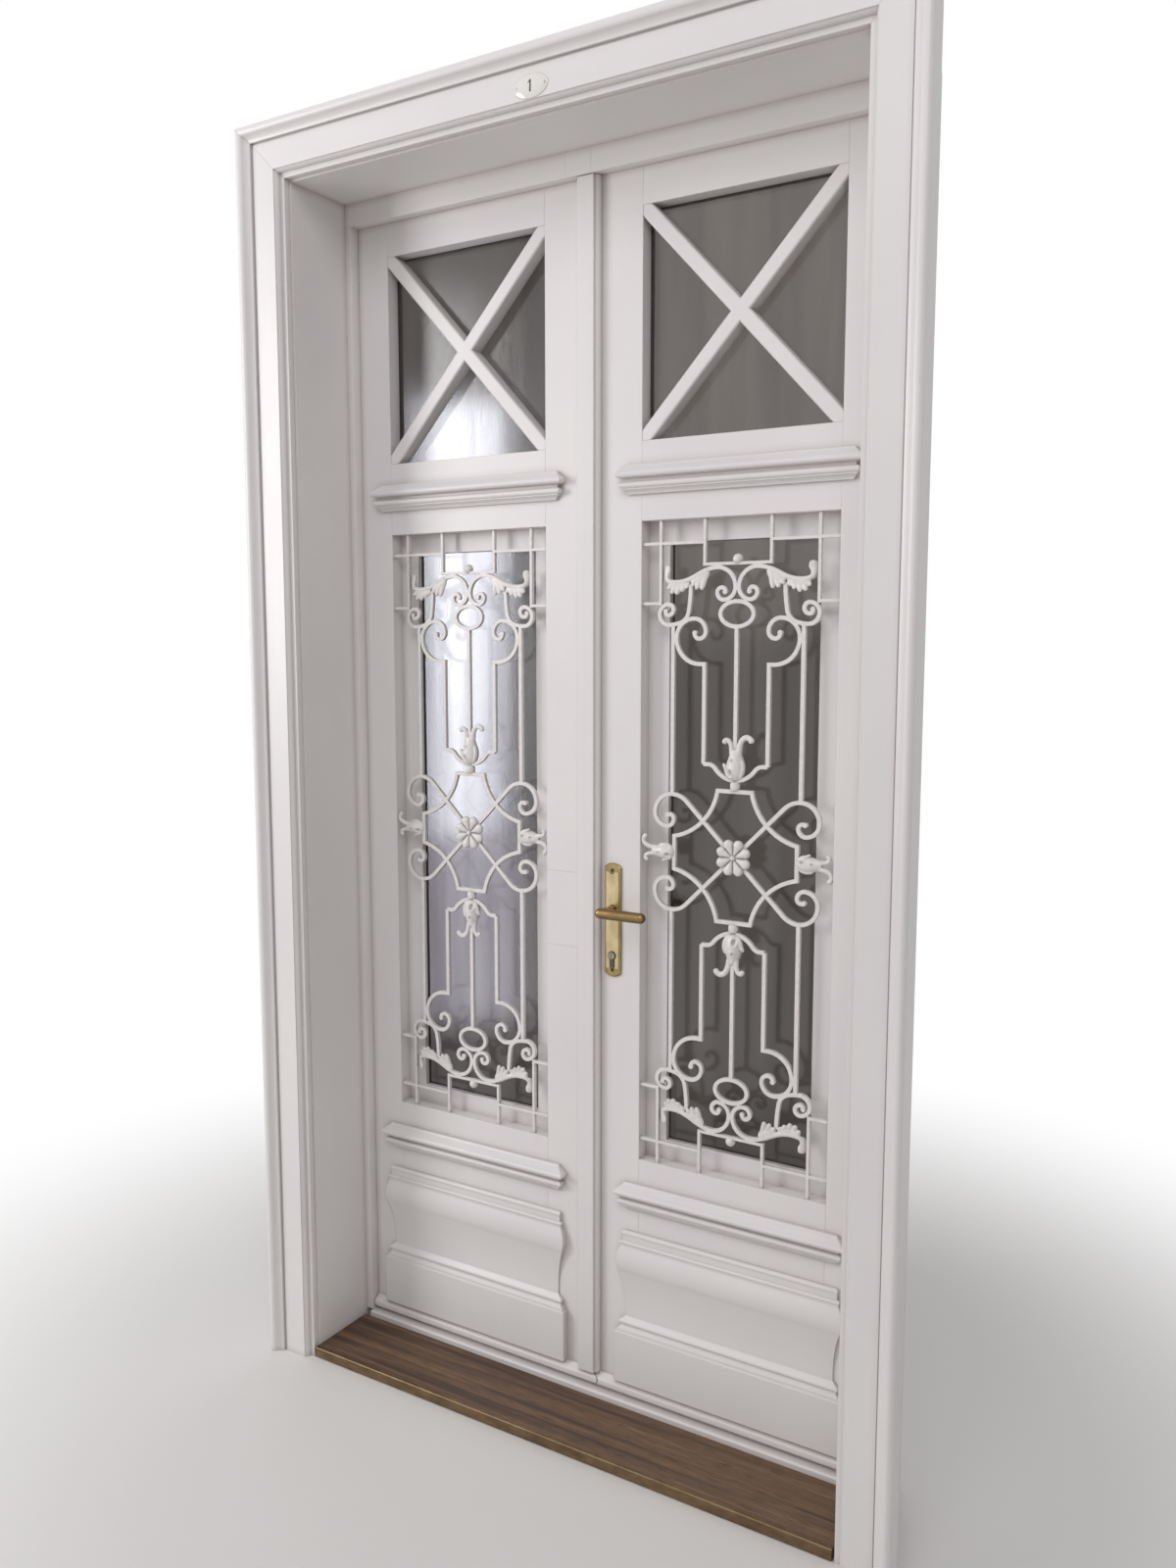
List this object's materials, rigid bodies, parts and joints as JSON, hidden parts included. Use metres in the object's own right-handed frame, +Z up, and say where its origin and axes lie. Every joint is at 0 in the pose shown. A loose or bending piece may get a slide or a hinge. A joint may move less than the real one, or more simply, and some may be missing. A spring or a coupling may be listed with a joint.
{
  "type": "french doors",
  "caption": "Pair of glazed wooden french doors in a rebated frame with reveal lining and moulded casing; scrolled iron grilles over the tall lower panes, saltire bars above.",
  "frame": {"origin": "on the floor under the meeting line of the two leaves, in the plane of the leaves' outer face", "axes": "+X across the doorway to the right as seen from the cased side, +Y through the doorway away from the cased side, the way the leaves open, +Z up"},
  "size_m": [1.472, 0.3588, 2.702],
  "materials": {
    "white_paint": "satin warm-white paint on wood",
    "painted_iron": "satin warm-white paint on wrought and cast iron",
    "painted_steel": "satin warm-white paint",
    "dark_wood": "dark oiled hardwood with streaks",
    "satin_brass": "satin brass, lightly aged",
    "white_enamel": "glossy white vitreous enamel",
    "obscure_glass": "grey-brown tinted, lightly textured",
    "lock_steel": "satin steel"
  },
  "bodies": {
    "frame": {"casing_left": "white_paint", "casing_right": "white_paint", "casing_head": "white_paint", "lining_left": "white_paint", "lining_right": "white_paint", "lining_head": "white_paint", "jamb_left": "white_paint", "jamb_right": "white_paint", "frame_head": "white_paint", "frame_head_middle": "white_paint", "sill": "white_paint", "threshold_board": "dark_wood", "threshold_nosing": "satin_brass", "number_plate": "white_enamel", "frame_hinges_left": "painted_steel", "frame_hinges_right": "painted_steel", "bolt_keeps": "satin_brass"},
    "right_leaf": {"right_hinge_stile": "white_paint", "right_meeting_stile": "white_paint", "right_top_rail": "white_paint", "right_frieze_rail": "white_paint", "right_base_panel": "white_paint", "right_rail_mouldings": "white_paint", "right_base_moulding": "white_paint", "right_weather_moulding": "white_paint", "right_saltire": "white_paint", "right_panes": "obscure_glass", "right_sash": "white_paint", "right_glass_beads": "white_paint", "right_grille": "painted_iron", "right_grille_ornaments": "painted_iron", "leaf_hinges_right": "painted_steel", "lock_case": "lock_steel", "backplate_outer": "satin_brass", "backplate_inner": "satin_brass", "lock_cylinder": "satin_brass"},
    "left_leaf": {"left_hinge_stile": "white_paint", "left_meeting_stile": "white_paint", "left_top_rail": "white_paint", "left_frieze_rail": "white_paint", "left_base_panel": "white_paint", "left_rail_mouldings": "white_paint", "left_base_moulding": "white_paint", "left_weather_moulding": "white_paint", "left_saltire": "white_paint", "left_panes": "obscure_glass", "left_sash": "white_paint", "left_glass_beads": "white_paint", "left_grille": "painted_iron", "left_grille_ornaments": "painted_iron", "left_stile_at_lock": "white_paint", "leaf_hinges_left": "painted_steel", "astragal": "white_paint", "strike_plate": "lock_steel"},
    "lever": {"levers": "satin_brass"},
    "latch": {"latch_bolt": "lock_steel"},
    "plug": {"cylinder_plug": "satin_brass"},
    "deadbolt": {"dead_bolt": "lock_steel"},
    "top_bolt": {"top_flush_bolt": "lock_steel"},
    "bottom_bolt": {"bottom_flush_bolt": "lock_steel"}
  },
  "joints": [
    {"name": "right_swing", "type": "hinge", "parent": "frame", "child": "right_leaf", "pos_m": [0.6215, 0.0655, 0], "axis": [0, 0, -1], "range_deg": [0, 110]},
    {"name": "left_swing", "type": "hinge", "parent": "frame", "child": "left_leaf", "pos_m": [-0.6215, 0.0655, 0], "axis": [0, 0, 1], "range_deg": [0, 90]},
    {"name": "lever_turn", "type": "hinge", "parent": "right_leaf", "child": "lever", "pos_m": [0.051, 0, 1.09], "axis": [0, 1, 0], "range_deg": [0, 35], "stiffness_Nm_per_rad": 2, "springref_deg": -20.05},
    {"name": "latch_slide", "type": "slide", "parent": "right_leaf", "child": "latch", "axis": [-1, 0, 0], "range_m": [0, 0.011]},
    {"name": "plug_turn", "type": "hinge", "parent": "right_leaf", "child": "plug", "pos_m": [0.051, 0, 0.992], "axis": [0, 1, 0], "range_deg": [0, 360]},
    {"name": "dead_bolt_slide", "type": "slide", "parent": "right_leaf", "child": "deadbolt", "axis": [-1, 0, 0], "range_m": [0, 0.02]},
    {"name": "top_bolt_slide", "type": "slide", "parent": "left_leaf", "child": "top_bolt", "axis": [0, 0, 1], "range_m": [0, 0.018]},
    {"name": "bottom_bolt_slide", "type": "slide", "parent": "left_leaf", "child": "bottom_bolt", "axis": [0, 0, -1], "range_m": [0, 0.018]}
  ],
  "couplings": [
    {"joint": "left_swing", "follows": "right_swing", "ratio": 0.75},
    {"joint": "plug_turn", "follows": "dead_bolt_slide", "rad_per_m": 314}
  ]
}
